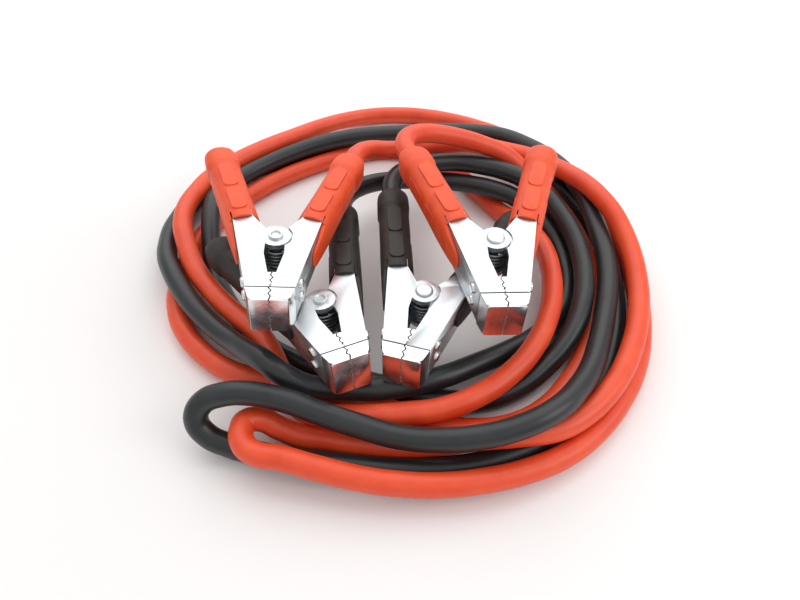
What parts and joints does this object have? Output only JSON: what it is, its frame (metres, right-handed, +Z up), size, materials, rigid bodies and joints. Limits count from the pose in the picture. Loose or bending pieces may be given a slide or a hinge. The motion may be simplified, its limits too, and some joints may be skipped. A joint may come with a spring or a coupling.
{
  "type": "car jumper cable",
  "caption": "Coiled car jumper cables: a red and a black thick cable, each with a spring clamp of plated steel with toothed jaws and moulded grips at both ends.",
  "frame": {"origin": "the middle of the coil's footprint, on the surface that the cables lie on", "axes": "+Z up from that surface; +Y from the clamps' jaws towards their grips, so -Y faces the viewer of the picture; +X to the right"},
  "size_m": [0.302, 0.3303, 0.0728],
  "materials": {
    "red_sheath": "smooth, soft sheen",
    "black_sheath": "smooth, soft sheen",
    "red_grip": "moulded, soft sheen",
    "black_grip": "moulded, matte",
    "plated_steel": "zinc plated, bright",
    "bright_insert": "polished",
    "spring_steel": "plain wire"
  },
  "bodies": {
    "coil": {"red_cable": "red_sheath", "black_cable": "black_sheath", "red_clamp_left_right_half": "plated_steel", "red_clamp_left_right_insert": "bright_insert", "red_clamp_left_right_grip": "red_grip", "red_clamp_left_right_rivet_upper": "plated_steel", "red_clamp_left_right_rivet_lower": "plated_steel", "red_clamp_left_pivot": "plated_steel", "red_clamp_left_spring": "spring_steel", "red_clamp_right_left_half": "plated_steel", "red_clamp_right_left_insert": "bright_insert", "red_clamp_right_left_grip": "red_grip", "red_clamp_right_left_rivet_upper": "plated_steel", "red_clamp_right_left_rivet_lower": "plated_steel", "red_clamp_right_pivot": "plated_steel", "red_clamp_right_spring": "spring_steel", "black_clamp_left_right_half": "plated_steel", "black_clamp_left_right_insert": "bright_insert", "black_clamp_left_right_grip": "black_grip", "black_clamp_left_right_rivet_upper": "plated_steel", "black_clamp_left_right_rivet_lower": "plated_steel", "black_clamp_left_pivot": "plated_steel", "black_clamp_left_spring": "spring_steel", "black_clamp_right_left_half": "plated_steel", "black_clamp_right_left_insert": "bright_insert", "black_clamp_right_left_grip": "black_grip", "black_clamp_right_left_rivet_upper": "plated_steel", "black_clamp_right_left_rivet_lower": "plated_steel", "black_clamp_right_pivot": "plated_steel", "black_clamp_right_spring": "spring_steel"},
    "red_jaw_left": {"red_clamp_left_left_half": "plated_steel", "red_clamp_left_left_insert": "bright_insert", "red_clamp_left_left_grip": "red_grip", "red_clamp_left_left_rivet_upper": "plated_steel", "red_clamp_left_left_rivet_lower": "plated_steel"},
    "red_jaw_right": {"red_clamp_right_right_half": "plated_steel", "red_clamp_right_right_insert": "bright_insert", "red_clamp_right_right_grip": "red_grip", "red_clamp_right_right_rivet_upper": "plated_steel", "red_clamp_right_right_rivet_lower": "plated_steel"},
    "black_jaw_left": {"black_clamp_left_left_half": "plated_steel", "black_clamp_left_left_insert": "bright_insert", "black_clamp_left_left_grip": "black_grip", "black_clamp_left_left_rivet_upper": "plated_steel", "black_clamp_left_left_rivet_lower": "plated_steel"},
    "black_jaw_right": {"black_clamp_right_right_half": "plated_steel", "black_clamp_right_right_insert": "bright_insert", "black_clamp_right_right_grip": "black_grip", "black_clamp_right_right_rivet_upper": "plated_steel", "black_clamp_right_right_rivet_lower": "plated_steel"}
  },
  "joints": [
    {"name": "red_left_pivot", "type": "hinge", "parent": "coil", "child": "red_jaw_left", "pos_m": [-0.0605, -0.0519, 0.0693], "axis": [-0.0947, -0.0227, -0.9952], "range_deg": [0, 20], "stiffness_Nm_per_rad": 3, "springref_deg": -28.65},
    {"name": "red_right_pivot", "type": "hinge", "parent": "coil", "child": "red_jaw_right", "pos_m": [0.0506, -0.0541, 0.0697], "axis": [0.0116, -0.0363, 0.9993], "range_deg": [0, 20], "stiffness_Nm_per_rad": 3, "springref_deg": -28.65},
    {"name": "black_left_pivot", "type": "hinge", "parent": "coil", "child": "black_jaw_left", "pos_m": [-0.0382, -0.0745, 0.046], "axis": [0.0324, -0.0885, -0.9955], "range_deg": [0, 8], "stiffness_Nm_per_rad": 3, "springref_deg": -28.65},
    {"name": "black_right_pivot", "type": "hinge", "parent": "coil", "child": "black_jaw_right", "pos_m": [0.0149, -0.0692, 0.0466], "axis": [0.0142, -0.0075, 0.9999], "range_deg": [0, 15], "stiffness_Nm_per_rad": 3, "springref_deg": -28.65}
  ]
}
